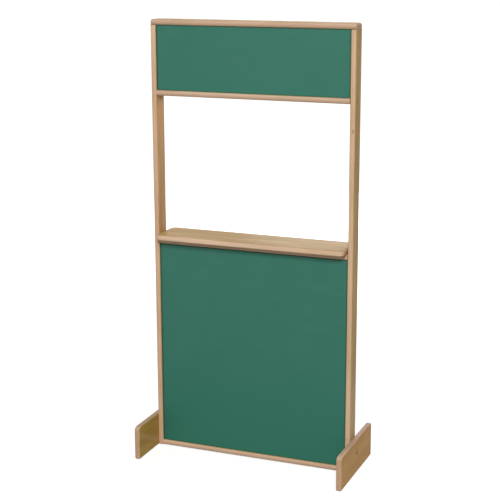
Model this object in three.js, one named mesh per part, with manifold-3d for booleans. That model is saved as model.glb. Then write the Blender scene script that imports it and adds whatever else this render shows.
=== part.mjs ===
// Puppet theater stand for children: a free-standing frame of rounded maple boards with two green
// chalkboard panels, a stage window with a shelf, and a foot board on the outside of each post.
// Millimetres, +Z up, the audience side faces -Y, the origin is on the floor in the middle of the feet.
// Left and right are as the audience sees them.

import * as THREE from 'three';
import { mergeVertices, toCreasedNormals } from 'three/addons/utils/BufferGeometryUtils.js';
import Module from 'manifold-3d';

// Frame boards
const frameWidth = 690;
const frameDepth = 60;
const boardThickness = 18;
const edgeRadius = 5.8;
const floorGap = 3;

// Clear heights between the frame boards, from the floor up
const lowerPanelSight = 695;
const windowHeight = 454;
const headerPanelSight = 208;

// Top rail, which caps both posts
const topRailCornerRadius = 8;

// Chalkboard panels and the grooves that hold them
const panelThickness = 6;
const grooveSetback = 6;
const grooveDepth = 6;
const grooveGap = 0.3;

// Puppet shelf
const shelfDepth = 140;
const shelfThickness = 18;
const shelfFrontOverhang = 38;
const shelfSideGap = 1.8;
const shelfCornerRadius = 20;

// Feet
const footLength = 328;
const footHeight = 114;
const footThickness = 18;
const footFrontReach = 144;
const footFrontRadius = 15;
const footRearRadius = 5;
const footBottomRadius = 5;
const footEdgeRadius = 4;

// Clearances
const seatGap = 0.25;
const holeGap = 0.2;
const holeEndGap = 0.5;
const cutOverrun = 2;

// Dowels
const dowelDiameter = 8;
const dowelLength = 30;
const dowelChamfer = 0.8;
const dowelInFace = 11;

// Wood screws and the plugs over their heads
const screwDiameter = 4.5;
const screwLength = 45;
const screwHeadDiameter = 8.6;
const screwHeadHeight = 2.8;
const screwHeadRim = 0.5;
const screwTipLength = 6;
const shelfScrewLength = 30;
const plugDiameter = 10;
const plugLength = 5.6;

// Foot bolts and their threaded inserts
const boltDiameter = 6;
const boltLength = 30;
const boltHeadDiameter = 20;
const boltHeadHeight = 2.6;
const boltHeadRim = 1.2;
const boltSocketWidth = 4.4;
const boltSocketDepth = 3.4;
const insertDiameter = 10;
const insertLength = 13;
const insertBore = 6.5;

// Places of the fastenings, as shares of the board they sit in
const screwDepthShare = 0.35;
const dowelDepthShare = 0.72;
const shelfScrewShares = [-0.36, 0, 0.36];
const footBoltHeightShare = 0.65;
const footDowelHeightShares = [0.36, 0.86];

// Smoothness of the curves, as counts
const arcSteps = 3;
const bevelSteps = 5;
const roundSteps = 20;
const headSteps = 32;
const hexSides = 6;

// Levels and places that follow from the sizes above
const lowerPanelLevel = floorGap + boardThickness;
const shelfRailLevel = lowerPanelLevel + lowerPanelSight;
const shelfLevel = shelfRailLevel + boardThickness + seatGap;
const headerRailLevel = shelfLevel + shelfThickness + windowHeight;
const headerPanelLevel = headerRailLevel + boardThickness;
const topRailLevel = headerPanelLevel + headerPanelSight;
const innerHalfWidth = frameWidth / 2 - boardThickness;
const postCentre = frameWidth / 2 - boardThickness / 2;
const postLength = topRailLevel - seatGap - floorGap;
const railLength = 2 * (innerHalfWidth - seatGap);
const grooveWidth = panelThickness + 2 * grooveGap;
const frameFront = footFrontReach - footLength / 2;
const frameMiddle = frameFront + frameDepth / 2;

// Depths inside the frame, measured from its middle
const grooveAt = grooveSetback + grooveWidth / 2 - frameDepth / 2;
const screwAt = frameDepth * screwDepthShare - frameDepth / 2;
const dowelAt = frameDepth * dowelDepthShare - frameDepth / 2;

// Directions
const toRight = new THREE.Vector3(1, 0, 0);
const toLeft = new THREE.Vector3(-1, 0, 0);
const upward = new THREE.Vector3(0, 0, 1);
const downward = new THREE.Vector3(0, 0, -1);
const alongAxis = new THREE.Vector3(0, 1, 0);

// Finishes, with the colours of the photographed product
const maple = new THREE.MeshStandardMaterial({ color: '#cdaa8a', roughness: 0.5, metalness: 0 });
const footMaple = new THREE.MeshStandardMaterial({ color: '#c39d77', roughness: 0.5, metalness: 0 });
const chalkboard = new THREE.MeshStandardMaterial({ color: '#3f7464', roughness: 0.85, metalness: 0 });
const dowelWood = new THREE.MeshStandardMaterial({ color: '#dcc19a', roughness: 0.7, metalness: 0 });
const plugWood = new THREE.MeshStandardMaterial({ color: '#a97f55', roughness: 0.5, metalness: 0 });
const zincSteel = new THREE.MeshStandardMaterial({ color: '#b7bbbf', roughness: 0.35, metalness: 1 });
const bronzeSteel = new THREE.MeshStandardMaterial({ color: '#6e5335', roughness: 0.45, metalness: 0.8 });

const wasm = await Module();
wasm.setup();

// A closed three.js geometry as a solid that can be cut
function solidOf(geometry) {
  geometry.deleteAttribute('normal');
  geometry.deleteAttribute('uv');
  const merged = mergeVertices(geometry);
  const index = merged.index.array;
  const triVerts = [];
  for (let i = 0; i < index.length; i += 3) {
    const [a, b, c] = [index[i], index[i + 1], index[i + 2]];
    if (a !== b && b !== c && c !== a) triVerts.push(a, b, c);
  }
  return new wasm.Manifold(new wasm.Mesh({
    numProp: 3,
    vertProperties: new Float32Array(merged.attributes.position.array),
    triVerts: new Uint32Array(triVerts),
  }));
}

function geometryOf(solid) {
  const mesh = solid.getMesh();
  const geometry = new THREE.BufferGeometry();
  geometry.setAttribute('position', new THREE.BufferAttribute(mesh.vertProperties, 3));
  geometry.setIndex(new THREE.BufferAttribute(mesh.triVerts, 1));
  return toCreasedNormals(geometry, Math.PI / 6);
}

function cut(body, tools) {
  return tools.reduce((rest, tool) => rest.subtract(tool), body);
}

// Outline of a rectangle around the origin: one radius at its lower corners, and one at each upper corner
function roundedOutline(width, height, lowerRadius, upperRadius, upperLeftRadius = upperRadius) {
  const x = width / 2;
  const y = height / 2;
  const outline = new THREE.Shape();
  outline.moveTo(lowerRadius - x, -y);
  outline.lineTo(x - lowerRadius, -y);
  outline.absarc(x - lowerRadius, lowerRadius - y, lowerRadius, -Math.PI / 2, 0);
  outline.lineTo(x, y - upperRadius);
  outline.absarc(x - upperRadius, y - upperRadius, upperRadius, 0, Math.PI / 2);
  outline.lineTo(upperLeftRadius - x, y);
  outline.absarc(upperLeftRadius - x, y - upperLeftRadius, upperLeftRadius, Math.PI / 2, Math.PI);
  outline.lineTo(-x, lowerRadius - y);
  outline.absarc(lowerRadius - x, lowerRadius - y, lowerRadius, Math.PI, Math.PI * 3 / 2);
  outline.closePath();
  return outline;
}

// A bar of one section, with rounded long edges and square ends, that starts at zero and runs along +Z
function bar(width, height, length, radius) {
  const section = roundedOutline(width, height, radius, radius);
  return new THREE.ExtrudeGeometry(section, { depth: length, bevelEnabled: false, curveSegments: arcSteps });
}

// A board with a drawn outline and both its faces rounded over, that lies between zero and its thickness
function board(outline, thickness, radius) {
  const geometry = new THREE.ExtrudeGeometry(outline, {
    depth: thickness - 2 * radius,
    bevelThickness: radius,
    bevelSize: radius,
    bevelOffset: -radius,
    bevelSegments: bevelSteps,
    curveSegments: arcSteps,
  });
  return geometry.translate(0, 0, radius);
}

// Turns a form drawn in a front view and extruded along +Z, so that it runs along +X instead
function acrossWidth(geometry) {
  const turn = new THREE.Matrix4().makeBasis(alongAxis, upward, toRight);
  return geometry.applyMatrix4(turn);
}

function boxTool(width, depth, height, x, y, z) {
  return solidOf(new THREE.BoxGeometry(width, depth, height).translate(x, y, z));
}

// A turned form whose profile is given as pairs of radius and distance along the axis
function turned(profile, steps) {
  return new THREE.LatheGeometry(profile.map(([radius, along]) => new THREE.Vector2(radius, along)), steps);
}

// Turns a form that runs along +Y from the origin, so that it runs in a direction from a place
function aimed(geometry, direction, x, y, z) {
  const turn = new THREE.Quaternion().setFromUnitVectors(alongAxis, direction);
  return geometry.applyQuaternion(turn).translate(x, y, z);
}

// A round hole from a surface into the wood, open towards the surface
function holeTool(diameter, depth, direction, x, y, z) {
  const radius = diameter / 2 + holeGap;
  const profile = [[0, -cutOverrun], [radius, -cutOverrun], [radius, depth], [0, depth]];
  return solidOf(aimed(turned(profile, roundSteps), direction, x, y, z));
}

// The hole for a countersunk screw whose head lies a set distance below the surface
function screwHoleTool(length, sunk, direction, x, y, z) {
  const head = screwHeadDiameter / 2 + holeGap;
  const shank = screwDiameter / 2 + holeGap;
  const neck = sunk + screwHeadHeight + holeGap;
  const end = sunk + length + holeEndGap;
  const profile = [[0, -cutOverrun], [head, -cutOverrun], [head, sunk + screwHeadRim + holeGap],
    [shank, neck], [shank, end], [0, end]];
  return solidOf(aimed(turned(profile, roundSteps), direction, x, y, z));
}

function screwGeometry(length) {
  const head = screwHeadDiameter / 2;
  const shank = screwDiameter / 2;
  const profile = [[0, 0], [head, 0], [head, screwHeadRim], [shank, screwHeadHeight],
    [shank, length - screwTipLength], [0, length]];
  return geometryOf(solidOf(turned(profile, roundSteps)));
}

function dowelGeometry(length) {
  const radius = dowelDiameter / 2;
  const flat = radius - dowelChamfer;
  const profile = [[0, 0], [flat, 0], [radius, dowelChamfer], [radius, length - dowelChamfer],
    [flat, length], [0, length]];
  return geometryOf(solidOf(turned(profile, roundSteps)));
}

function plugGeometry() {
  const radius = plugDiameter / 2;
  const profile = [[0, 0], [radius, 0], [radius, plugLength], [0, plugLength]];
  return geometryOf(solidOf(turned(profile, roundSteps)));
}

// A low round bolt head with a hexagon socket, on a plain shank, drawn from the seat of the head
function boltGeometry() {
  const head = boltHeadDiameter / 2;
  const shank = boltDiameter / 2;
  const crown = head - boltHeadRim;
  const profile = [[0, -boltHeadHeight], [crown, -boltHeadHeight], [head, -boltHeadRim], [head, 0],
    [shank, 0], [shank, boltLength], [0, boltLength]];
  const socket = new THREE.CylinderGeometry(boltSocketWidth / 2, boltSocketWidth / 2,
    boltSocketDepth + cutOverrun, hexSides);
  socket.translate(0, (boltSocketDepth - cutOverrun) / 2 - boltHeadHeight, 0);
  return geometryOf(cut(solidOf(turned(profile, headSteps)), [solidOf(socket)]));
}

// A threaded sleeve, drawn without its thread
function insertGeometry() {
  const outer = insertDiameter / 2;
  const bore = insertBore / 2;
  const profile = [[bore, 0], [outer, 0], [outer, insertLength], [bore, insertLength], [bore, 0]];
  return geometryOf(solidOf(turned(profile, roundSteps)));
}

// Rails that run between the posts: their levels, and whether a visible plug covers their screws
const rails = [
  { name: 'bottom_rail', level: floorGap, plugged: false },
  { name: 'shelf_rail', level: shelfRailLevel, plugged: true },
  { name: 'header_rail', level: headerRailLevel, plugged: true },
];
const plugHoleDepth = plugLength + seatGap;
const sunkOf = (rail) => (rail.plugged ? plugHoleDepth : seatGap);

// Fastening heights of a foot, from the floor
const footBoltHeight = footHeight * footBoltHeightShare;
const footDowelHeights = footDowelHeightShares.map((share) => footHeight * share);

// A post, drawn from its lower end; side is -1 for the left one and 1 for the right one
function postSolid(side) {
  const outerFace = side * boardThickness / 2;
  const innerFace = -outerFace;
  const inward = side > 0 ? toLeft : toRight;
  const outward = side > 0 ? toRight : toLeft;
  const grooveX = innerFace + side * (grooveDepth - cutOverrun) / 2;
  const grooveTool = (from, to) => boxTool(grooveDepth + cutOverrun, grooveWidth, to - from,
    grooveX, grooveAt, (from + to) / 2 - floorGap);
  const tools = [
    grooveTool(lowerPanelLevel - grooveDepth, shelfRailLevel + grooveDepth),
    grooveTool(headerPanelLevel - grooveDepth, topRailLevel + cutOverrun),
  ];
  for (const rail of rails) {
    const z = rail.level - floorGap + boardThickness / 2;
    tools.push(holeTool(dowelDiameter, dowelInFace + holeEndGap, outward, innerFace, dowelAt, z));
    tools.push(screwHoleTool(screwLength, sunkOf(rail), inward, outerFace, screwAt, z));
    if (rail.plugged) tools.push(holeTool(plugDiameter, plugHoleDepth, inward, outerFace, screwAt, z));
  }
  const dowelInEnd = dowelLength - dowelInFace + holeEndGap;
  for (const y of [screwAt, dowelAt]) {
    tools.push(holeTool(dowelDiameter, dowelInEnd, downward, 0, y, postLength));
  }
  const insertDepth = insertLength + holeEndGap;
  tools.push(holeTool(insertDiameter, insertDepth, inward, outerFace, screwAt, footBoltHeight - floorGap));
  for (const z of footDowelHeights) {
    tools.push(holeTool(dowelDiameter, dowelInFace + holeEndGap, inward, outerFace, dowelAt, z - floorGap));
  }
  return cut(solidOf(bar(boardThickness, frameDepth, postLength, edgeRadius)), tools);
}

// A rail, drawn from its left end and its lower face; grooves lists the faces that hold a panel
function railSolid(rail, grooves) {
  const middle = railLength / 2;
  const z = boardThickness / 2;
  const body = acrossWidth(bar(frameDepth, boardThickness, railLength, edgeRadius)).translate(-middle, 0, z);
  const tools = [];
  for (const face of grooves) {
    const grooveZ = face === 'top' ? boardThickness - (grooveDepth - cutOverrun) / 2
      : (grooveDepth - cutOverrun) / 2;
    tools.push(boxTool(railLength + 2 * cutOverrun, grooveWidth, grooveDepth + cutOverrun,
      0, grooveAt, grooveZ));
  }
  const dowelInEnd = dowelLength - dowelInFace + holeEndGap;
  for (const [end, inward] of [[-middle, toRight], [middle, toLeft]]) {
    const screwInEnd = sunkOf(rail) + screwLength - boardThickness + holeEndGap;
    tools.push(holeTool(dowelDiameter, dowelInEnd, inward, end, dowelAt, z));
    tools.push(holeTool(screwDiameter, screwInEnd, inward, end, screwAt, z));
  }
  if (rail.name === 'shelf_rail') {
    for (const share of shelfScrewShares) {
      tools.push(screwHoleTool(boardThickness, seatGap, upward, railLength * share, dowelAt, 0));
    }
  }
  return cut(solidOf(body), tools);
}

function topRailSolid() {
  const outline = roundedOutline(frameWidth, frameDepth, topRailCornerRadius, topRailCornerRadius);
  const tools = [boxTool(2 * (innerHalfWidth + grooveDepth), grooveWidth, grooveDepth + cutOverrun,
    0, grooveAt, (grooveDepth - cutOverrun) / 2)];
  for (const x of [-postCentre, postCentre]) {
    for (const y of [screwAt, dowelAt]) {
      tools.push(holeTool(dowelDiameter, dowelInFace + holeEndGap, upward, x, y, 0));
    }
  }
  return cut(solidOf(board(outline, boardThickness, edgeRadius)), tools);
}

function panelGeometry(sight) {
  const overlap = 2 * (grooveDepth - grooveGap);
  return new THREE.BoxGeometry(2 * innerHalfWidth + overlap, panelThickness, sight + overlap);
}

function shelfSolid() {
  const width = 2 * (innerHalfWidth - shelfSideGap);
  const outline = roundedOutline(width, shelfDepth, shelfCornerRadius, shelfCornerRadius);
  const screwInShelf = shelfScrewLength + seatGap - boardThickness - seatGap + holeEndGap;
  const screwY = frameMiddle + dowelAt - shelfMiddle;
  const tools = shelfScrewShares.map((share) => holeTool(screwDiameter, screwInShelf, upward,
    railLength * share, screwY, 0));
  return cut(solidOf(board(outline, shelfThickness, edgeRadius)), tools);
}

// A foot, drawn standing on the floor with its inner face at zero and its thickness along +X
function footSolid(side) {
  const outline = roundedOutline(
    footLength, footHeight, footBottomRadius, footRearRadius, footFrontRadius);
  const body = acrossWidth(board(outline, footThickness, footEdgeRadius)).translate(0, 0, footHeight / 2);
  if (side < 0) body.translate(-footThickness, 0, 0);
  const outward = side > 0 ? toRight : toLeft;
  const tools = [holeTool(boltDiameter, footThickness + cutOverrun, outward,
    0, frameMiddle + screwAt, footBoltHeight)];
  for (const z of footDowelHeights) {
    tools.push(holeTool(dowelDiameter, dowelInFace + holeEndGap, outward, 0, frameMiddle + dowelAt, z));
  }
  return cut(solidOf(body), tools);
}

const shelfMiddle = frameFront - shelfFrontOverhang + shelfDepth / 2;

const stand = new THREE.Group();
const frame = new THREE.Group();
frame.position.set(0, frameMiddle, 0);
stand.add(frame);

function addPiece(group, name, geometry, material, x, y, z, direction) {
  const mesh = new THREE.Mesh(geometry, material);
  mesh.name = name;
  mesh.position.set(x, y, z);
  if (direction) mesh.quaternion.setFromUnitVectors(alongAxis, direction);
  group.add(mesh);
}

// Posts, top rail and the rails between the posts
const sides = [{ name: 'left', side: -1, inward: toRight, outward: toLeft },
  { name: 'right', side: 1, inward: toLeft, outward: toRight }];
for (const { name, side } of sides) {
  addPiece(frame, `${name}_post`, geometryOf(postSolid(side)), maple, side * postCentre, 0, floorGap);
}
addPiece(frame, 'top_rail', geometryOf(topRailSolid()), maple, 0, 0, topRailLevel);
const grooveFaces = { bottom_rail: ['top'], shelf_rail: ['bottom'], header_rail: ['top'] };
for (const rail of rails) {
  const geometry = geometryOf(railSolid(rail, grooveFaces[rail.name]));
  addPiece(frame, rail.name, geometry, maple, 0, 0, rail.level);
}

// Panels in their grooves
addPiece(frame, 'lower_panel', panelGeometry(lowerPanelSight), chalkboard,
  0, grooveAt, lowerPanelLevel + lowerPanelSight / 2);
addPiece(frame, 'header_panel', panelGeometry(headerPanelSight), chalkboard,
  0, grooveAt, headerPanelLevel + headerPanelSight / 2);

// Shelf and its screws from below
addPiece(stand, 'puppet_shelf', geometryOf(shelfSolid()), maple, 0, shelfMiddle, shelfLevel);
['left', 'centre', 'right'].forEach((name, i) => {
  addPiece(frame, `shelf_screw_${name}`, screwGeometry(shelfScrewLength), zincSteel,
    railLength * shelfScrewShares[i], dowelAt, shelfRailLevel + seatGap, upward);
});

// Fastenings of the rails and of the top rail
for (const { name, side, inward, outward } of sides) {
  const outerFace = side * frameWidth / 2;
  const innerFace = side * innerHalfWidth;
  for (const rail of rails) {
    const z = rail.level + boardThickness / 2;
    const screwX = outerFace - side * sunkOf(rail);
    addPiece(frame, `${rail.name}_screw_${name}`, screwGeometry(screwLength), zincSteel,
      screwX, screwAt, z, inward);
    addPiece(frame, `${rail.name}_dowel_${name}`, dowelGeometry(dowelLength), dowelWood,
      innerFace + side * dowelInFace, dowelAt, z, inward);
    if (rail.plugged) {
      addPiece(frame, `${rail.name}_plug_${name}`, plugGeometry(), plugWood, outerFace, screwAt, z, inward);
    }
  }
  for (const [place, y] of [['front', screwAt], ['back', dowelAt]]) {
    addPiece(frame, `top_dowel_${name}_${place}`, dowelGeometry(dowelLength), dowelWood,
      side * postCentre, y, topRailLevel + dowelInFace, downward);
  }
  const footInner = outerFace + side * seatGap;
  addPiece(stand, `${name}_foot`, geometryOf(footSolid(side)), footMaple, footInner, 0, 0);
  addPiece(frame, `${name}_foot_bolt`, boltGeometry(), bronzeSteel,
    footInner + side * (footThickness + seatGap), screwAt, footBoltHeight, inward);
  addPiece(frame, `${name}_foot_insert`, insertGeometry(), zincSteel,
    outerFace, screwAt, footBoltHeight, inward);
  ['lower', 'upper'].forEach((place, i) => {
    addPiece(frame, `${name}_foot_dowel_${place}`, dowelGeometry(2 * dowelInFace), dowelWood,
      footInner + side * dowelInFace, dowelAt, footDowelHeights[i], inward);
  });
}

export default stand;
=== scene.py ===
from collections import namedtuple
from math import pi, radians

import bpy
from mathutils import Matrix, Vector


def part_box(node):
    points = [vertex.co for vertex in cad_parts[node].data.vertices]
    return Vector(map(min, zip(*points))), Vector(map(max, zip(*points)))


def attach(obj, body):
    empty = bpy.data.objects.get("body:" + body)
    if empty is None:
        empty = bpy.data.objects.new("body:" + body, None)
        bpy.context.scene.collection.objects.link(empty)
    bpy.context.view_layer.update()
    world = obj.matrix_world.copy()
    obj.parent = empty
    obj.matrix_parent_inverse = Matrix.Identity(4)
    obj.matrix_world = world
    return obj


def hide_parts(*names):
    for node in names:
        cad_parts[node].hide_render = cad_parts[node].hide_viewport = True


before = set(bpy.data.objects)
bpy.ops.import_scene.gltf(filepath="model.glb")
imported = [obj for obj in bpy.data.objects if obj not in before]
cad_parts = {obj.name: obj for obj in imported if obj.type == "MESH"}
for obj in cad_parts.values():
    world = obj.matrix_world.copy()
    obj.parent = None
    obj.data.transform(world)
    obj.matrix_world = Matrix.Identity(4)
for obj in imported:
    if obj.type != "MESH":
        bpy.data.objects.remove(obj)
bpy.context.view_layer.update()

# The looks of a puppet theater stand for children: maple boards with rounded edges, two green
# chalkboard sheets, a shelf below the stage window and a foot board on each side.
# Metres, +Z up, the audience side faces -Y, left and right are as the audience sees them.

MM = 0.001
X, Y, Z = 0, 1, 2
LOW, HIGH = 0, 1
SIDES = ("left", "right")

# Sizes of the joinery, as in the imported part. But the photo shows the rails' edges rounder, the
# plugs' arris is too fine for the part, and the two ends of a hole share their clearance here.
EDGE_RADIUS = 5.8 * MM
RAIL_EDGE_RADIUS = 7.2 * MM
TOP_RAIL_CORNER_RADIUS = 8 * MM
SHELF_CORNER_RADIUS = 20 * MM
FOOT_FRONT_RADIUS = 15 * MM
FOOT_REAR_RADIUS = 5 * MM
FOOT_BOTTOM_RADIUS = 5 * MM
FOOT_EDGE_RADIUS = 4 * MM
PANEL_CLEARANCE = 0.3 * MM
HOLE_CLEARANCE = 0.2 * MM
HOLE_END_CLEARANCE = 0.5 * MM
PLUG_ARRIS = 0.35 * MM

# The low domed bolts that hold the feet; the hexagon socket is measured over its corners
BOLT_HEAD_RADIUS = 10 * MM
BOLT_HEAD_HEIGHT = 2.6 * MM
BOLT_DOME_RADIUS = 1.9 * MM
BOLT_SHANK_RADIUS = 3 * MM
SOCKET_WIDTH = 4.4 * MM
SOCKET_DEPTH = 3.4 * MM
SOCKET_ARRIS = 0.25 * MM

# How finely curves are divided
EDGE_STEPS = 8
CORNER_STEPS = 12
ROUND_STEPS = 48
BOLT_HEAD_STEPS = 64
PLUG_ARRIS_STEPS = 3
SOCKET_ARRIS_STEPS = 2
SOCKET_SIDES = 6

# Points this near to each other or to a face touch, and bends flatter than this look smooth
TOUCHING = 1e-6
CREASE_ANGLE = radians(35)

# How a rod is turned to lie along an axis, and a board's place so that its grain runs along X
ROD_TURNS = {X: (0, pi / 2, 0), Y: (pi / 2, 0, 0), Z: (0, 0, 0)}
GRAIN_TURNS = {X: (0, 0, 0), Y: (0, 0, -pi / 2), Z: (0, pi / 2, 0)}


# Modelling tools

def deselect_all():
    if bpy.context.object and bpy.context.object.mode != "OBJECT":
        bpy.ops.object.mode_set(mode="OBJECT")
    bpy.ops.object.select_all(action="DESELECT")


def make_active(piece):
    deselect_all()
    piece.select_set(True)
    bpy.context.view_layer.objects.active = piece


def name_and_place(name):
    """Names the new primitive and puts its place, turn and size into its mesh."""
    piece = bpy.context.object
    piece.name = piece.data.name = name
    bpy.ops.object.transform_apply(location=True, rotation=True, scale=True)
    return piece


def add_block(name, low, high):
    """A square-edged length of stock between two corners."""
    deselect_all()
    low, high = Vector(low), Vector(high)
    bpy.ops.mesh.primitive_cube_add(size=1, location=(low + high) / 2, scale=high - low)
    return name_and_place(name)


def add_rod(name, centre, axis, radius, length, steps=ROUND_STEPS):
    """A round rod along one axis."""
    deselect_all()
    bpy.ops.mesh.primitive_cylinder_add(vertices=steps, radius=radius, depth=length,
                                        location=centre, rotation=ROD_TURNS[axis])
    return name_and_place(name)


def deselect_mesh(piece, kind):
    """Deselects all of a piece's edges or faces, so that code can select some by their place."""
    make_active(piece)
    bpy.ops.object.mode_set(mode="EDIT")
    bpy.ops.mesh.select_mode(type=kind)
    bpy.ops.mesh.select_all(action="DESELECT")
    bpy.ops.object.mode_set(mode="OBJECT")


def select_edges(piece, wanted):
    """Leaves the piece in edit mode, with the edges selected whose two ends pass the test."""
    deselect_mesh(piece, "EDGE")
    points = piece.data.vertices
    for edge in piece.data.edges:
        start, end = (points[i].co for i in edge.vertices)
        edge.select = wanted(start, end)
    bpy.ops.object.mode_set(mode="EDIT")


def select_faces(piece, wanted):
    """Leaves the piece in edit mode, with the faces selected whose centre passes the test."""
    deselect_mesh(piece, "FACE")
    for face in piece.data.polygons:
        face.select = wanted(face.center)
    bpy.ops.object.mode_set(mode="EDIT")


def runs_along(axis, length):
    """A test for edges that run the whole length of a board along one axis."""
    return lambda start, end: abs(start[axis] - end[axis]) > 0.9 * length


def lies_at(axis, *levels):
    """A test for edges that lie in one of a board's flat faces."""
    return lambda start, end: any(abs(start[axis] - level) < TOUCHING and
                                  abs(end[axis] - level) < TOUCHING for level in levels)


def lies_near(point, distance):
    """A test for edges that start within a distance of a point."""
    return lambda start, end: (start - point).length < distance


def all_of(*tests):
    """A test for edges that pass several tests."""
    return lambda start, end: all(test(start, end) for test in tests)


def round_edges(piece, radius, steps, wanted):
    """Rounds the edges that pass the test."""
    select_edges(piece, wanted)
    bpy.ops.mesh.bevel(offset=radius, segments=steps, profile=0.5, affect="EDGES",
                       clamp_overlap=False)
    bpy.ops.object.mode_set(mode="OBJECT")


def carve(piece, tools, operation="DIFFERENCE"):
    """Cuts the tools out of a piece, or with INTERSECT trims it to them, and removes them."""
    make_active(piece)
    for tool in tools:
        cut = piece.modifiers.new("carving", "BOOLEAN")
        cut.operation = operation
        cut.solver = "EXACT"
        cut.object = tool
        bpy.ops.object.modifier_apply(modifier=cut.name)
    for tool in tools:
        mesh = tool.data
        bpy.data.objects.remove(tool)
        bpy.data.meshes.remove(mesh)


def smooth(piece):
    """Merges doubles, turns all faces outwards and shades the curves smooth and the flats flat."""
    make_active(piece)
    bpy.ops.object.mode_set(mode="EDIT")
    bpy.ops.mesh.select_all(action="SELECT")
    bpy.ops.mesh.remove_doubles(threshold=TOUCHING)
    bpy.ops.mesh.normals_make_consistent(inside=False)
    bpy.ops.object.mode_set(mode="OBJECT")
    bpy.ops.object.shade_smooth_by_angle(angle=CREASE_ANGLE)
    even = piece.modifiers.new("even_normals", "WEIGHTED_NORMAL")
    even.keep_sharp = True
    even.weight = 100
    bpy.ops.object.modifier_apply(modifier=even.name)


def give_finish(piece, finish):
    piece.data.materials.clear()
    piece.data.materials.append(finish)


def put_in_place(piece, node, finish):
    """The piece stands for a CAD node, moves with the frame and gets its finish."""
    give_finish(piece, finish)
    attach(piece, "root")
    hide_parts(node)


# Shader tools

# A thin glaze over a colour: its tone, and how much of it shows where it is thickest
Glaze = namedtuple("Glaze", "tone amount")


def set_inputs(tree, inputs, values):
    """Joins each named input to an output, or sets its own value."""
    for key, value in values.items():
        if isinstance(value, bpy.types.NodeSocket):
            tree.links.new(value, inputs[key])
        else:
            inputs[key].default_value = value


def add(tree, kind, values=(), out=0, **settings):
    """A shader node with its settings and inputs; returns one of its outputs."""
    node = tree.nodes.new("ShaderNode" + kind)
    for key, value in settings.items():
        setattr(node, key, value)
    set_inputs(tree, node.inputs, dict(values))
    return node.outputs[out]


def maths(tree, operation, *values):
    return add(tree, "Math", dict(enumerate(values)), operation=operation)


def vectors(tree, operation, *values, out=0):
    return add(tree, "VectorMath", dict(enumerate(values)), out=out, operation=operation)


def component(tree, vector, axis):
    return add(tree, "SeparateXYZ", {0: vector}, out=axis)


def add_up(tree, start, *parts):
    """A number with masks added to it, each times its own amount."""
    total = start
    for mask, amount in parts:
        total = maths(tree, "MULTIPLY_ADD", mask, amount, total)
    return total


def spread(tree, value, low, high, new_low=0.0, new_high=1.0):
    """Spreads a range of values smoothly over a new one."""
    return add(tree, "MapRange", {0: value, 1: low, 2: high, 3: new_low, 4: new_high},
               interpolation_type="SMOOTHSTEP")


def fade_from(tree, value, middle, reach, strength):
    """A mask that is strongest where a value is at its middle and fades out within its reach."""
    away = maths(tree, "ABSOLUTE", maths(tree, "SUBTRACT", value, middle))
    return spread(tree, away, reach, 0.0, 0.0, strength)


def noise(tree, place, scale, detail=2.0, roughness=0.5, out=0):
    """Noise whose scale, in lumps to the metre, is one number or one for each axis."""
    if isinstance(scale, tuple):
        place, scale = vectors(tree, "MULTIPLY", place, scale), 1.0
    return add(tree, "TexNoise", {"Vector": place, "Scale": scale, "Detail": detail,
                                  "Roughness": roughness}, out=out)


def mix_colours(tree, share, first, second):
    """Mixes outputs or plain colours, which are given as red, green and blue."""
    node = tree.nodes.new("ShaderNodeMix")
    node.data_type = "RGBA"
    colours = [(*colour, 1) if isinstance(colour, tuple) else colour for colour in (first, second)]
    set_inputs(tree, node.inputs, {"Factor": share, "A": colours[0], "B": colours[1]})
    return node.outputs["Result"]


def lay_glaze(tree, colour, glaze, mask):
    """Lays a glaze over a colour where a mask shows."""
    share = maths(tree, "MULTIPLY", mask, glaze.amount)
    return mix_colours(tree, share, colour, glaze.tone)


def tone_ramp(tree, tone, colours):
    """Turns a tone into a colour, from the palest of three to the darkest."""
    node = tree.nodes.new("ShaderNodeValToRGB")
    points = node.color_ramp.elements
    points.new(0.5)
    for point, position, colour in zip(points, (0.12, 0.50, 0.95), colours):
        point.position, point.color = position, (*colour, 1)
    set_inputs(tree, node.inputs, {"Fac": tone})
    return node.outputs["Color"]


def bumps(tree, height, strength, depth):
    return add(tree, "Bump", {"Strength": strength, "Distance": depth, "Height": height})


def new_group(name, inputs, outputs):
    """An empty shader node group with named inputs and outputs."""
    tree = bpy.data.node_groups.new(name, "ShaderNodeTree")
    for label, kind, value in inputs:
        socket = tree.interface.new_socket(label, in_out="INPUT", socket_type="NodeSocket" + kind)
        socket.default_value = value
    for label in outputs:
        tree.interface.new_socket(label, in_out="OUTPUT", socket_type="NodeSocketFloat")
    source = tree.nodes.new("NodeGroupInput").outputs
    target = tree.nodes.new("NodeGroupOutput").inputs
    return tree, source, target


def place_group(tree, group, values):
    """Places a node group in a material and returns its outputs."""
    node = tree.nodes.new("ShaderNodeGroup")
    node.node_tree = group
    set_inputs(tree, node.inputs, values)
    return node.outputs


def new_material(name):
    """A new material: its tree, and the inputs of the Principled shader that it ends in."""
    material = bpy.data.materials.new(name)
    material.use_nodes = True
    tree = material.node_tree
    tree.nodes.clear()
    shader = tree.nodes.new("ShaderNodeBsdfPrincipled")
    output = tree.nodes.new("ShaderNodeOutputMaterial")
    tree.links.new(shader.outputs[0], output.inputs["Surface"])
    return material, tree, shader.inputs


# Effects that finishes share

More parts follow.
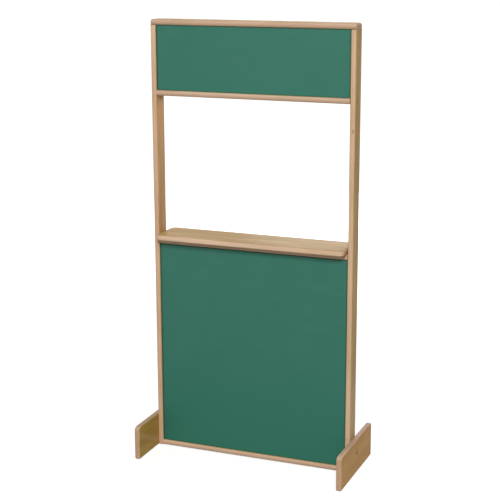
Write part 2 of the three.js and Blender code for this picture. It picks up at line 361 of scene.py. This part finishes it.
def make_grain_group():
    """Plain-sawn maple: growth rings round a pith beside the board, fibres, patches and flecks.
    Place has the grain along X, and Pith is the middle of the rings across it, in metres."""
    tree, source, target = new_group("maple_grain", [
        ("Place", "Vector", (0, 0, 0)),
        ("Pith", "Vector", (0, 0.03, -0.09)),
        ("Ring Width", "Float", 3.5 * MM),
        ("Ring Strength", "Float", 0.35),
        ("Fibre Strength", "Float", 0.3),
        ("Patch Strength", "Float", 0.5),
    ], ["Tone", "Flecks", "Height"])
    place = source["Place"]

    # The rings wander slowly along the board, by up to half of this either way
    wandering = 14 * MM
    slow = noise(tree, place, (2.2, 11, 11), roughness=0.55, out=1)
    wander = vectors(tree, "MULTIPLY", vectors(tree, "SUBTRACT", slow, (0.5, 0.5, 0.5)),
                     (0, wandering, wandering))
    from_pith = vectors(tree, "SUBTRACT", vectors(tree, "ADD", place, wander), source["Pith"])
    radius = vectors(tree, "LENGTH", vectors(tree, "MULTIPLY", from_pith, (0, 1, 1)), out=1)

    def noise_across_rings(scale, detail):
        outward = add(tree, "CombineXYZ", {0: maths(tree, "MULTIPLY", radius, scale)})
        return noise(tree, outward, 1.0, detail)

    # Rings are unevenly wide: each darkens slowly towards its late wood, then ends sharply
    unevenness = 2.4
    count = add_up(tree, maths(tree, "DIVIDE", radius, source["Ring Width"]),
                   (noise_across_rings(70.0, detail=1), unevenness))
    growth = maths(tree, "FRACT", count)
    ring = maths(tree, "MULTIPLY", maths(tree, "POWER", growth, 3.0),
                 spread(tree, growth, 0.93, 1.0, 1.0, 0.0))
    # Some years grow darker than others
    years = spread(tree, noise_across_rings(160.0, detail=2), 0.3, 0.7)

    fibre = spread(tree, noise(tree, place, (14, 620, 620), detail=3, roughness=0.6), 0.3, 0.7)
    patch = spread(tree, noise(tree, place, (3.2, 26, 26)), 0.3, 0.7)
    flecks = spread(tree, noise(tree, place, (45, 1500, 1500), detail=1), 0.66, 0.78)
    # Fibres stand a little proud; flecks and late wood are hollows
    set_inputs(tree, target, {
        "Tone": add_up(tree, 0.0, (add_up(tree, ring, (years, 0.6)), source["Ring Strength"]),
                       (fibre, source["Fibre Strength"]), (patch, source["Patch Strength"])),
        "Flecks": flecks,
        "Height": add_up(tree, 0.0, (fibre, 0.5), (flecks, -0.6), (ring, -0.4)),
    })
    return tree


def make_rub_group():
    """Edges that hands and cloths have rubbed: a broken mask along the rounded edges, which the
    maple also uses for a painted highlight.
    """
    tree, source, target = new_group("edge_rub", [
        ("Place", "Vector", (0, 0, 0)),
        ("Radius", "Float", 3 * MM),
    ], ["Mask"])
    rounded = add(tree, "Bevel", {"Radius": source["Radius"]}, samples=6)
    straight = add(tree, "NewGeometry", out="Normal")
    bend = maths(tree, "SUBTRACT", 1.0, vectors(tree, "DOT_PRODUCT", rounded, straight, out=1))
    broken = spread(tree, noise(tree, source["Place"], 38, detail=4, roughness=0.65), 0.38, 0.62)
    mask = maths(tree, "MULTIPLY", spread(tree, bend, 0.004, 0.09),
                 add_up(tree, 0.3, (broken, 0.7)))
    set_inputs(tree, target, {"Mask": mask})
    return tree


def make_handling_group():
    """Faint smudges of a given size and a trace of dust on them."""
    tree, source, target = new_group("handling", [
        ("Place", "Vector", (0, 0, 0)),
        ("Size", "Float", 90 * MM),
    ], ["Smudges", "Dust"])
    place = source["Place"]
    scale = maths(tree, "DIVIDE", 1.0, source["Size"])
    smudges = spread(tree, noise(tree, place, scale, detail=4, roughness=0.6), 0.35, 0.68)
    specks = spread(tree, noise(tree, place, 900), 0.55, 0.75)
    set_inputs(tree, target, {"Smudges": smudges, "Dust": maths(tree, "MULTIPLY", specks, smudges)})
    return tree


MAPLE_GRAIN = make_grain_group()
EDGE_RUB = make_rub_group()
HANDLING = make_handling_group()


# Maple

# Colours of the lacquered maple; tones go from the palest to the darkest
EDGE_GRAIN_TONES = [(0.620, 0.432, 0.300), (0.570, 0.388, 0.258), (0.490, 0.318, 0.198)]
FACE_GRAIN_TONES = [(0.525, 0.345, 0.145), (0.455, 0.288, 0.108), (0.365, 0.216, 0.074)]
SAPWOOD = (0.66, 0.48, 0.31)
# The brown of the painted shade on the rails' lower halves
RAIL_SHADE_BROWN = (0.43, 0.28, 0.175)
END_GRAIN = Glaze((0.40, 0.235, 0.105), 0.55)
KNOT_BROWN = Glaze((0.30, 0.165, 0.085), 0.70)
FLECK_BROWN = Glaze((0.27, 0.15, 0.07), 0.35)
# The painted shade on the feet's tops
TOP_SHADE = Glaze((0.385, 0.262, 0.178), 0.85)
# Pale rounded edges: partly wear, partly a painted highlight
EDGE_WEAR_AND_HIGHLIGHT = Glaze((0.70, 0.52, 0.36), 0.24)
DUST = Glaze((0.75, 0.72, 0.68), 0.05)
LACQUER_ROUGHNESS = 0.40
LACQUER_COAT_ROUGHNESS = 0.35
GRAIN_DEPTH = 0.12 * MM

# Marks in the wood, placed from the middle of their board. A band of other wood, of painted shade
# or of a painted reflection has the direction across it, its middle and its reach that way, and its
# strength.
Band = namedtuple("Band", "across middle reach strength wood")
Knot = namedtuple("Knot", "place radius")


def lower_shade_band(strength):
    """Painted shade: a darker band just below the middle of a rail, where its lower rounding faces
    away from the light.
    """
    return Band(across=(0, 0, 1), middle=-3 * MM, reach=6.5 * MM, strength=strength,
                wood=RAIL_SHADE_BROWN)


# Each board comes from its own place in a log: pith is the middle of the rings, across the grain
# from the board's own middle, and shift moves the board through the pattern. The tints make its
# narrow edges and its broad faces paler, darker or warmer than the other boards'; the face tints of
# the left post, the top rail and the left foot are painted light and shade.
BOARD_LOOKS = {
    "left_post": dict(
        pith=(0.03, -0.07), shift=(0, 0, 0.3),
        # The left post's paler, bluer face tint is painted light on its inner side
        edge_tint=(1.01, 0.97, 0.94), face_tint=(1.20, 1.12, 1.33),
        bands=[Band(across=(0, 0, 1), middle=702.5 * MM, reach=250 * MM, strength=0.4,
                    wood=SAPWOOD)]),
    "right_post": dict(
        pith=(-0.02, 0.085), shift=(0, 0, -0.4), edge_tint=(0.99, 0.99, 0.91),
        bands=[Band(across=(0, 0, 1), middle=-567.5 * MM, reach=350 * MM, strength=0.35,
                    wood=SAPWOOD)],
        knots=[Knot(place=(3 * MM, -30 * MM, 406.5 * MM), radius=5 * MM)]),
    "bottom_rail": dict(
        pith=(0.05, 0.06), shift=(0.2, 0, 0), edge_tint=(1.12, 1.10, 1.14),
        bands=[lower_shade_band(0.60)]),
    "shelf_rail": dict(
        pith=(-0.04, 0.07), shift=(0.5, 0, 0), edge_tint=(1.02, 1.00, 1.00)),
    "header_rail": dict(
        pith=(0.03, -0.06), shift=(-0.3, 0, 0), edge_tint=(0.97, 0.99, 1.06),
        bands=[lower_shade_band(0.75)]),
    "top_rail": dict(
        pith=(0.04, -0.08), shift=(0.7, 0, 0),
        # The top rail's paler, bluer face tint is a painted sheen on its top
        edge_tint=(0.99, 1.00, 1.06), face_tint=(1.22, 1.36, 1.80),
        bands=[lower_shade_band(0.85)]),
    "puppet_shelf": dict(
        pith=(0.01, -0.11), shift=(0.1, 0.02, 0), ring_width=4.2 * MM,
        edge_tint=(1.10, 1.12, 1.14)),
    "left_foot": dict(
        pith=(0.01, -0.09), shift=(0, 0.2, 0), ring_width=4 * MM,
        # The left foot's yellower face tint is painted shade, the olive cast of its shaded inner
        # face
        edge_tint=(1.08, 1.06, 1.16), face_tint=(1.12, 1.05, 0.68),
        # This pale band is a painted reflection: the soft stripe that the lacquer on the inner face
        # reflects
        bands=[Band(across=(0, 0.47, 1), middle=-47.5 * MM, reach=18 * MM, strength=0.27,
                    wood=SAPWOOD)],
        shaded_top=(-200 * MM, -120 * MM), coat=0.15),
    "right_foot": dict(
        pith=(-0.03, 0.1), shift=(0, -0.3, 0), ring_width=4 * MM,
        edge_tint=(1.08, 1.06, 1.16), face_tint=(1.27, 1.16, 1.17), contrast=0.6,
        shaded_top=(-150 * MM, -30 * MM), coat=0.15),
}


def tinted(tones, tint, contrast=1.0):
    """The tones of a board that is paler, darker, warmer or plainer than the others."""
    middle = tones[1]
    return [tuple((m + contrast * (c - m)) * t for c, m, t in zip(tone, middle, tint))
            for tone in tones]


def make_maple(node, along, wide, pith, shift, ring_width=3.2 * MM, edge_tint=(1, 1, 1),
               face_tint=(1, 1, 1), contrast=1.0, bands=(), knots=(), shaded_top=None, coat=0.25):
    """Clear-lacquered maple for one board: along is the grain's axis, wide the axis that its
    broad faces look along, which show the flat of the grain. On a board with a shaded top, painted
    shade begins to darken the top at the first of two places along Y and is darkest at the second."""
    low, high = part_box(node)
    material, tree, shader = new_material(f"maple_{node}")
    coordinates = tree.nodes.new("ShaderNodeTexCoord").outputs
    normal = coordinates["Normal"]
    spot = vectors(tree, "SUBTRACT", coordinates["Object"], (low + high) / 2)
    shifted = vectors(tree, "ADD", spot, shift)
    place = add(tree, "Mapping", {"Vector": shifted, "Rotation": GRAIN_TURNS[along]})
    grain = place_group(tree, MAPLE_GRAIN, {"Place": place, "Pith": (0, *pith),
                                            "Ring Width": ring_width})
    rub = place_group(tree, EDGE_RUB, {"Place": place})
    handling = place_group(tree, HANDLING, {"Place": place})

    # Broad faces are more amber than the narrow edges
    broad = spread(tree, maths(tree, "ABSOLUTE", component(tree, normal, wide)), 0.70, 0.98)
    edge_tones = tinted(EDGE_GRAIN_TONES, edge_tint)
    face_tones = tinted(FACE_GRAIN_TONES, face_tint, contrast)
    colour = mix_colours(tree, broad, tone_ramp(tree, grain["Tone"], edge_tones),
                         tone_ramp(tree, grain["Tone"], face_tones))
    # Bands of other wood, and bands of painted shade or of a painted reflection
    for band in bands:
        across = vectors(tree, "DOT_PRODUCT", spot, band.across, out=1)
        mask = fade_from(tree, across, band.middle, band.reach, band.strength)
        colour = mix_colours(tree, mask, colour, band.wood)
    # A knot is drawn out along the grain
    shape = tuple(0.5 if axis == along else 1.0 for axis in (X, Y, Z))
    for knot in knots:
        away = vectors(tree, "MULTIPLY", vectors(tree, "SUBTRACT", spot, knot.place), shape)
        away = vectors(tree, "LENGTH", away, out=1)
        mask = spread(tree, away, knot.radius, 0.25 * knot.radius)
        colour = lay_glaze(tree, colour, KNOT_BROWN, mask)
    # Sawn ends drink more of the lacquer
    sawn = spread(tree, maths(tree, "ABSOLUTE", component(tree, normal, along)), 0.60, 0.98)
    colour = lay_glaze(tree, colour, END_GRAIN, sawn)
    # Painted shade: the top grows darker towards the rear
    if shaded_top:
        top = spread(tree, component(tree, normal, Z), 0.40, 0.95)
        top_shade = maths(tree, "MULTIPLY", top, spread(tree, component(tree, spot, Y), *shaded_top))
        colour = lay_glaze(tree, colour, TOP_SHADE, top_shade)
    colour = lay_glaze(tree, colour, FLECK_BROWN, grain["Flecks"])
    # Rounded edges paler: partly rubbed wear, partly a painted highlight where they catch the light
    colour = lay_glaze(tree, colour, EDGE_WEAR_AND_HIGHLIGHT, rub["Mask"])
    colour = lay_glaze(tree, colour, DUST, handling["Dust"])

    # Smudges and flecks are duller than the lacquer, and rubbed edges are shinier
    rough = add_up(tree, LACQUER_ROUGHNESS, (handling["Smudges"], 0.08), (grain["Flecks"], 0.15),
                   (rub["Mask"], -0.06))
    set_inputs(tree, shader, {
        "Base Color": colour,
        "Roughness": rough,
        "Coat Weight": coat,
        "Coat Roughness": LACQUER_COAT_ROUGHNESS,
        "Specular IOR Level": 0.0,
        "Normal": bumps(tree, grain["Height"], strength=0.5, depth=GRAIN_DEPTH),
    })
    return material


# Chalkboard

COAT_GREENS = ((0.0250, 0.1310, 0.0905), (0.0268, 0.1350, 0.0940))
COAT_NEAR_FLOOR = (0.0218, 0.1375, 0.0928)
# The dark olive of the painted shade along the frame
COAT_PAINTED_SHADE = (0.0116, 0.030, 0.0120)
COAT_GRIT = Glaze((0.062, 0.21, 0.155), 0.10)
CHALK = Glaze((0.6, 0.62, 0.58), 0.010)
COAT_ROUGHNESS = 0.56
# Heights above the floor below which the coat grows purer, and where it is purest
PURER_BELOW = 500 * MM
PUREST_AT = 50 * MM
HARDBOARD_BROWNS = ((0.125, 0.068, 0.034), (0.235, 0.142, 0.078))
HARDBOARD_CLOUD = Glaze((0.19, 0.105, 0.052), 0.35)
SCREEN_HOLLOW = Glaze((0.10, 0.052, 0.026), 0.30)
SCREEN_PITCH = 2.1 * MM
HARDBOARD_ROUGHNESS = 0.72

# The dark line round the sheets is painted shade, where the frame shades them: the board that it
# lies along, the axis across it, which corner of the board's box it starts from, how far it reaches
# and how strong it is
PAINTED_SHADE_LINES = (
    ("left_post", X, HIGH, 7.5 * MM, 0.85),
    ("right_post", X, LOW, 6.0 * MM, 0.85),
    ("top_rail", Z, LOW, 4.5 * MM, 0.90),
    ("shelf_rail", Z, LOW, 6.0 * MM, 0.95),
    ("header_rail", Z, HIGH, 3.5 * MM, 0.50),
    ("bottom_rail", Z, HIGH, 3.5 * MM, 0.50),
)


def green_coat(tree, place):
    """The coat in front, faintly mottled, with a breath of chalk wiped over it, its grit, and
    painted shade along the frame.
    """
    mottle = spread(tree, noise(tree, place, 7, detail=3, roughness=0.55), 0.3, 0.7)
    coat = mix_colours(tree, mottle, *COAT_GREENS)
    grit = spread(tree, noise(tree, place, 1400), 0.35, 0.65)
    coat = lay_glaze(tree, coat, COAT_GRIT, grit)
    wipe = spread(tree, noise(tree, place, (9, 9, 30), detail=5, roughness=0.6), 0.45, 0.80)
    coat = lay_glaze(tree, coat, CHALK, wipe)
    # Low down it is a purer green
    low_down = spread(tree, component(tree, place, Z), PURER_BELOW, PUREST_AT)
    coat = mix_colours(tree, low_down, coat, COAT_NEAR_FLOOR)
    # Along the frame, where the sheet goes into its grooves, a dark line of painted shade
    painted_shade = 0.0
    for board, axis, corner, reach, strength in PAINTED_SHADE_LINES:
        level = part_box(board)[corner][axis]
        line = fade_from(tree, component(tree, place, axis), level, reach, strength)
        painted_shade = maths(tree, "MAXIMUM", painted_shade, line)
    return mix_colours(tree, painted_shade, coat, COAT_PAINTED_SHADE), grit


def bare_hardboard(tree, place):
    """The brown back: pressed fibres and the print of the press screen, and how it stands up."""
    fibre = noise(tree, place, 420, detail=5, roughness=0.7)
    brown = mix_colours(tree, spread(tree, fibre, 0.3, 0.7), *HARDBOARD_BROWNS)
    cloudy = spread(tree, noise(tree, place, 16, detail=3, roughness=0.6), 0.35, 0.70)
    brown = lay_glaze(tree, brown, HARDBOARD_CLOUD, cloudy)
    turns = [maths(tree, "MULTIPLY", component(tree, place, axis), 2 * pi / SCREEN_PITCH)
             for axis in (X, Z)]
    screen = maths(tree, "MULTIPLY", *(maths(tree, "SINE", turn) for turn in turns))
    brown = lay_glaze(tree, brown, SCREEN_HOLLOW, spread(tree, screen, -0.6, 0.9))
    return brown, add_up(tree, screen, (fibre, 0.4))


def make_chalkboard():
    """A hardboard sheet with a matt green chalkboard coat in front and bare behind."""
    material, tree, shader = new_material("chalkboard_sheet")
    coordinates = tree.nodes.new("ShaderNodeTexCoord").outputs
    place = coordinates["Object"]
    handling = place_group(tree, HANDLING, {"Place": place, "Size": 220 * MM})
    coat, grit = green_coat(tree, place)
    brown, print_height = bare_hardboard(tree, place)
    # Which side is seen: the front looks at the audience
    is_front = maths(tree, "LESS_THAN", component(tree, coordinates["Normal"], Y), -0.5)
    coat_rough = add_up(tree, COAT_ROUGHNESS, (handling["Smudges"], 0.06))
    smoother = maths(tree, "SUBTRACT", coat_rough, HARDBOARD_ROUGHNESS)
    height = mix_colours(tree, is_front, print_height, maths(tree, "MULTIPLY", grit, 0.12))
    set_inputs(tree, shader, {
        "Base Color": mix_colours(tree, is_front, brown, coat),
        "Roughness": add_up(tree, HARDBOARD_ROUGHNESS, (is_front, smoother)),
        "Specular IOR Level": 0.25,
        "Normal": bumps(tree, height, strength=0.6, depth=0.2 * MM),
    })
    return material


# Plugs, metal and dowels

PLUG_TONES = ((0.42, 0.250, 0.092), (0.34, 0.192, 0.066))
PLUG_PORES = Glaze((0.20, 0.11, 0.04), 0.4)
PLUG_RUBBED = Glaze((0.5, 0.33, 0.15), 0.2)
PLUG_ROUGHNESS = 0.45
BRONZE = (0.26, 0.155, 0.068)
BRONZE_WORN = Glaze((0.36, 0.23, 0.115), 0.6)
BRONZE_ROUGHNESS = 0.46
ZINC = (0.62, 0.64, 0.66)
ZINC_WORN = Glaze((0.8, 0.8, 0.8), 0.6)
ZINC_ROUGHNESS = 0.28
BIRCH_TONES = ((0.72, 0.55, 0.36), (0.66, 0.49, 0.31), (0.56, 0.39, 0.22))
BIRCH_ROUGHNESS = 0.68


def make_plug_wood():
    """A wood plug across the grain, a little darker than the board round it."""
    material, tree, shader = new_material("plug_end_grain")
    place = tree.nodes.new("ShaderNodeTexCoord").outputs["Object"]
    rub = place_group(tree, EDGE_RUB, {"Place": place, "Radius": 0.6 * MM})
    rings = spread(tree, noise(tree, place, (1, 900, 120), detail=3, roughness=0.6), 0.3, 0.7)
    pores = spread(tree, noise(tree, place, 2600), 0.55, 0.70)
    colour = mix_colours(tree, rings, *PLUG_TONES)
    colour = lay_glaze(tree, colour, PLUG_PORES, pores)
    colour = lay_glaze(tree, colour, PLUG_RUBBED, rub["Mask"])
    height = maths(tree, "SUBTRACT", 1.0, pores)
    set_inputs(tree, shader, {
        "Base Color": colour,
        "Roughness": add_up(tree, PLUG_ROUGHNESS, (pores, 0.2)),
        "Coat Weight": 0.12,
        "Coat Roughness": 0.4,
        "Specular IOR Level": 0.0,
        "Normal": bumps(tree, height, strength=0.5, depth=GRAIN_DEPTH),
    })
    return material


def make_metal(name, plating, worn, roughness):
    """Plated steel with turning marks, stains and bright rubbed edges."""
    material, tree, shader = new_material(name)
    place = tree.nodes.new("ShaderNodeTexCoord").outputs["Object"]
    rub = place_group(tree, EDGE_RUB, {"Place": place, "Radius": 0.7 * MM})
    handling = place_group(tree, HANDLING, {"Place": place, "Size": 6 * MM})
    darker = Glaze(tuple(0.72 * part for part in plating), 0.35)
    stains = spread(tree, noise(tree, place, 260, detail=4, roughness=0.6), 0.35, 0.70)
    colour = lay_glaze(tree, plating, darker, stains)
    colour = lay_glaze(tree, colour, worn, rub["Mask"])
    turning = noise(tree, place, (400, 6000, 6000))
    set_inputs(tree, shader, {
        "Base Color": colour,
        "Metallic": 1.0,
        "Roughness": add_up(tree, roughness, (handling["Smudges"], 0.10), (turning, 0.12)),
        "Normal": bumps(tree, turning, strength=0.25, depth=0.03 * MM),
    })
    return material


def make_dowel_wood():
    """Raw birch of the dowels, which the joints hide."""
    material, tree, shader = new_material("raw_birch")
    place = tree.nodes.new("ShaderNodeTexCoord").outputs["Object"]
    grain = place_group(tree, MAPLE_GRAIN, {"Place": place, "Ring Width": 1.6 * MM})
    set_inputs(tree, shader, {
        "Base Color": tone_ramp(tree, grain["Tone"], BIRCH_TONES),
        "Roughness": add_up(tree, BIRCH_ROUGHNESS, (grain["Flecks"], 0.15)),
        "Normal": bumps(tree, grain["Height"], strength=0.5, depth=0.1 * MM),
    })
    return material


# Pieces

def reaching_into(board, nodes):
    """Those of the CAD nodes whose boxes reach into a board's box."""
    board_low, board_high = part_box(board)
    found = []
    for node in nodes:
        low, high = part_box(node)
        if all(high[i] > board_low[i] and low[i] < board_high[i] for i in (X, Y, Z)):
            found.append(node)
    return found


def hole_tools(board):
    """Round tools for the holes of the dowels, plugs and inserts in a board."""
    fasteners = [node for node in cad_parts
                 if any(word in node for word in ("dowel", "plug", "insert"))]
    tools = []
    for node in reaching_into(board, fasteners):
        low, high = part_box(node)
        size = high - low
        # A plug lies along X and is wider than it is long, and the rest are long and thin
        axis = X if "plug" in node else max((X, Y, Z), key=lambda i: size[i])
        width = size[X] if axis == Y else size[Y]
        tools.append(add_rod("hole", (low + high) / 2, axis, width / 2 + HOLE_CLEARANCE,
                             size[axis] + HOLE_END_CLEARANCE))
    return tools


def groove_tools(board):
    """Tools for the grooves in a board that hold the chalkboard sheets."""
    gap = Vector((PANEL_CLEARANCE,) * 3)
    tools = []
    for sheet in reaching_into(board, ("lower_panel", "header_panel")):
        low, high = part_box(sheet)
        tools.append(add_block("groove", low - gap, high + gap))
    return tools


def finish_board(piece, board, along, wide):
    """Smooths a finished board, gives it its own maple and puts it in place."""
    smooth(piece)
    put_in_place(piece, board, make_maple(board, along, wide, **BOARD_LOOKS[board]))


def make_posts():
    for side in SIDES:
        board = f"{side}_post"
        low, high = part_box(board)
        post = add_block(f"{board}_board", low, high)
        round_edges(post, EDGE_RADIUS, EDGE_STEPS, runs_along(Z, high.z - low.z))
        carve(post, groove_tools(board) + hole_tools(board))
        finish_board(post, board, Z, X)


def make_rails():
    for board in ("bottom_rail", "shelf_rail", "header_rail"):
        low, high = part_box(board)
        rail = add_block(f"{board}_board", low, high)
        round_edges(rail, RAIL_EDGE_RADIUS, EDGE_STEPS, runs_along(X, high.x - low.x))
        carve(rail, groove_tools(board) + hole_tools(board))
        finish_board(rail, board, X, Z)


def make_top_rail():
    low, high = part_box("top_rail")
    rail = add_block("top_rail_board", low, high)
    # Below, only the long edges are rounded, and the ends sit square on the posts
    round_edges(rail, RAIL_EDGE_RADIUS, EDGE_STEPS,
                all_of(runs_along(X, high.x - low.x), lies_at(Z, low.z)))
    # The corners are rounded by trimming the rail to a taller outline
    taller = Vector((0, 0, high.z - low.z))
    outline = add_block("outline", low - taller, high + taller)
    round_edges(outline, TOP_RAIL_CORNER_RADIUS, EDGE_STEPS, runs_along(Z, 3 * taller.z))
    carve(rail, [outline], "INTERSECT")
    round_edges(rail, RAIL_EDGE_RADIUS, EDGE_STEPS, lies_at(Z, high.z))
    carve(rail, groove_tools("top_rail") + hole_tools("top_rail"))
    finish_board(rail, "top_rail", X, Z)


def make_shelf():
    low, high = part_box("puppet_shelf")
    shelf = add_block("puppet_shelf_board", low, high)
    round_edges(shelf, SHELF_CORNER_RADIUS, CORNER_STEPS, runs_along(Z, high.z - low.z))
    round_edges(shelf, EDGE_RADIUS, EDGE_STEPS, lies_at(Z, low.z, high.z))
    finish_board(shelf, "puppet_shelf", X, Z)


def make_feet():
    for side in SIDES:
        board = f"{side}_foot"
        low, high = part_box(board)
        foot = add_block(f"{board}_board", low, high)
        across, at_top = runs_along(X, high.x - low.x), lies_at(Z, high.z)
        round_edges(foot, FOOT_FRONT_RADIUS, CORNER_STEPS,
                    all_of(across, at_top, lies_at(Y, low.y)))
        round_edges(foot, FOOT_REAR_RADIUS, EDGE_STEPS,
                    all_of(across, at_top, lies_at(Y, high.y)))
        round_edges(foot, FOOT_BOTTOM_RADIUS, EDGE_STEPS, all_of(across, lies_at(Z, low.z)))
        round_edges(foot, FOOT_EDGE_RADIUS, EDGE_STEPS, lies_at(X, low.x, high.x))
        bolt_low, bolt_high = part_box(f"{side}_foot_bolt")
        bolt_centre = (bolt_low + bolt_high) / 2
        bolt_hole = add_rod("hole", ((low.x + high.x) / 2, bolt_centre.y, bolt_centre.z), X,
                            BOLT_SHANK_RADIUS + HOLE_CLEARANCE, 2 * (high.x - low.x))
        carve(foot, [bolt_hole] + hole_tools(board))
        finish_board(foot, board, Y, X)


def make_plugs():
    plug_wood = make_plug_wood()
    for rail in ("shelf_rail", "header_rail"):
        for side in SIDES:
            node = f"{rail}_plug_{side}"
            low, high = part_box(node)
            plug = add_rod(f"{node}_turned", (low + high) / 2, X, (high.y - low.y) / 2,
                           high.x - low.x)
            outer = low.x if side == "left" else high.x
            round_edges(plug, PLUG_ARRIS, PLUG_ARRIS_STEPS, lies_at(X, outer))
            smooth(plug)
            put_in_place(plug, node, plug_wood)


def make_bolts():
    """Low domed bolt heads with a hexagon socket, each on its shank."""
    bronze = make_metal("bronze_plating", BRONZE, BRONZE_WORN, BRONZE_ROUGHNESS)
    for side, outward in (("left", -1), ("right", 1)):
        node = f"{side}_foot_bolt"
        low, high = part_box(node)
        centre = (low + high) / 2
        inner, outer = (low.x, high.x) if outward > 0 else (high.x, low.x)
        seat = outer - outward * BOLT_HEAD_HEIGHT
        bolt = add_rod(f"{node}_turned", ((outer + seat) / 2, centre.y, centre.z), X,
                       BOLT_HEAD_RADIUS, BOLT_HEAD_HEIGHT, BOLT_HEAD_STEPS)
        # The shank grows out of the seat of the head
        select_faces(bolt, lambda middle: abs(middle.x - seat) < TOUCHING)
        bpy.ops.mesh.inset(thickness=BOLT_HEAD_RADIUS - BOLT_SHANK_RADIUS, depth=0)
        bpy.ops.mesh.extrude_region_move(TRANSFORM_OT_translate={"value": (inner - seat, 0, 0)})
        bpy.ops.object.mode_set(mode="OBJECT")
        at_outside = lies_at(X, outer)
        round_edges(bolt, BOLT_DOME_RADIUS, EDGE_STEPS, at_outside)
        # The socket, with its mouth eased; the dome's edge lies much further from the middle
        mouth = Vector((outer, centre.y, centre.z))
        socket = add_rod("socket", mouth, X, SOCKET_WIDTH / 2, 2 * SOCKET_DEPTH, SOCKET_SIDES)
        carve(bolt, [socket])
        round_edges(bolt, SOCKET_ARRIS, SOCKET_ARRIS_STEPS,
                    all_of(at_outside, lies_near(mouth, 0.6 * SOCKET_WIDTH)))
        smooth(bolt)
        put_in_place(bolt, node, bronze)


def finish_kept_nodes():
    """The CAD nodes whose shapes stay: the sheets, and the dowels, screws and inserts inside."""
    chalkboard = make_chalkboard()
    zinc = make_metal("zinc_plating", ZINC, ZINC_WORN, ZINC_ROUGHNESS)
    finishes = {"panel": chalkboard, "screw": zinc, "insert": zinc, "dowel": make_dowel_wood()}
    for node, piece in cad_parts.items():
        for word, finish in finishes.items():
            if word in node:
                give_finish(piece, finish)


make_posts()
make_rails()
make_top_rail()
make_shelf()
make_feet()
make_plugs()
make_bolts()
finish_kept_nodes()


# Floor, light and camera

WHITE = (1, 1, 1, 1)
WORLD_LIGHT = 0.12

# The floor glows for the camera, weakly as far as the near distance and fully from the far one
FLOOR_SIZE = 60
FLOOR_GREYS = ((0.49, 0.49, 0.49), (0.51, 0.51, 0.51))
GLOW_NEAR, GLOW_FAR = 0.5, 3.0
WEAK_GLOW, FULL_GLOW = 0.68, 1.0

# The square lamps: their places, widths and powers; all look at the middle of the stand
SOFTBOXES = {
    "key_softbox": ((1.8, -5.6, 4.65), 1.8, 440),
    "right_softbox": ((2.4, 3.4, 3.4), 2.0, 62),
    "left_softbox": ((-3.0, -3.6, 2.4), 1.6, 9),
    "back_softbox": ((-2.6, 3.6, 2.6), 2.0, 28),
    "rear_softbox": ((-0.8, 4.6, 1.0), 2.0, 90),
    "side_softbox": ((-4.6, 0.9, 1.0), 2.0, 40),
}
STAND_MIDDLE = Vector((0, 0, 0.8))

# The photo's camera, fitted to the stand's edges; the sensor and lens are in millimetres
CAMERA_PLACE = (1.4997, -3.7509, 1.6910)
CAMERA_DEGREES = (76.4477, 0.1520, 21.8884)
CAMERA_SENSOR = 36
CAMERA_LENS = 92.239


def make_floor():
    deselect_all()
    bpy.ops.mesh.primitive_plane_add(size=FLOOR_SIZE, location=(0, 0, 0))
    floor = bpy.context.object
    floor.name = "studio_floor"
    material, tree, shader = new_material("pale_floor")
    place = tree.nodes.new("ShaderNodeTexCoord").outputs["Object"]
    # The camera sees it white, more so far from the stand, and it keeps the stand's shadow
    seen = tree.nodes.new("ShaderNodeLightPath").outputs
    shown = maths(tree, "MAXIMUM", seen["Is Camera Ray"], seen["Is Glossy Ray"])
    distance = vectors(tree, "LENGTH", place, out=1)
    glow = spread(tree, distance, GLOW_NEAR, GLOW_FAR, WEAK_GLOW, FULL_GLOW)
    set_inputs(tree, shader, {
        "Base Color": mix_colours(tree, noise(tree, place, 3, detail=3), *FLOOR_GREYS),
        "Roughness": 0.9,
        "Specular IOR Level": 0.1,
        "Emission Color": WHITE,
        "Emission Strength": maths(tree, "MULTIPLY", shown, glow),
    })
    floor.data.materials.append(material)


def make_world():
    """A dim surround that shows as white to the camera and in gloss and glass."""
    world = bpy.data.worlds.new("studio_world")
    bpy.context.scene.world = world
    world.use_nodes = True
    tree = world.node_tree
    tree.nodes.clear()
    seen = tree.nodes.new("ShaderNodeLightPath").outputs
    shown = maths(tree, "MAXIMUM", seen["Is Camera Ray"],
                  maths(tree, "MAXIMUM", seen["Is Glossy Ray"], seen["Is Transmission Ray"]))
    strength = maths(tree, "MULTIPLY_ADD", shown, 1 - WORLD_LIGHT, WORLD_LIGHT)
    surround = add(tree, "Background", {"Color": WHITE, "Strength": strength})
    output = tree.nodes.new("ShaderNodeOutputWorld")
    tree.links.new(surround, output.inputs["Surface"])


def make_softboxes():
    for name, (place, width, power) in SOFTBOXES.items():
        deselect_all()
        bpy.ops.object.light_add(type="AREA", location=place)
        lamp = bpy.context.object
        lamp.name = name
        lamp.data.shape = "SQUARE"
        lamp.data.size = width
        lamp.data.energy = power
        lamp.rotation_mode = "QUATERNION"
        lamp.rotation_quaternion = (STAND_MIDDLE - Vector(place)).to_track_quat("-Z", "Y")


def make_camera():
    deselect_all()
    bpy.ops.object.camera_add(location=CAMERA_PLACE,
                              rotation=[radians(turn) for turn in CAMERA_DEGREES])
    camera = bpy.context.object
    camera.name = "photo_camera"
    camera.data.sensor_fit = "HORIZONTAL"
    camera.data.sensor_width = CAMERA_SENSOR
    camera.data.lens = CAMERA_LENS
    bpy.context.scene.camera = camera


make_floor()
make_world()
make_softboxes()
make_camera()
bpy.context.scene.view_settings.view_transform = "Standard"
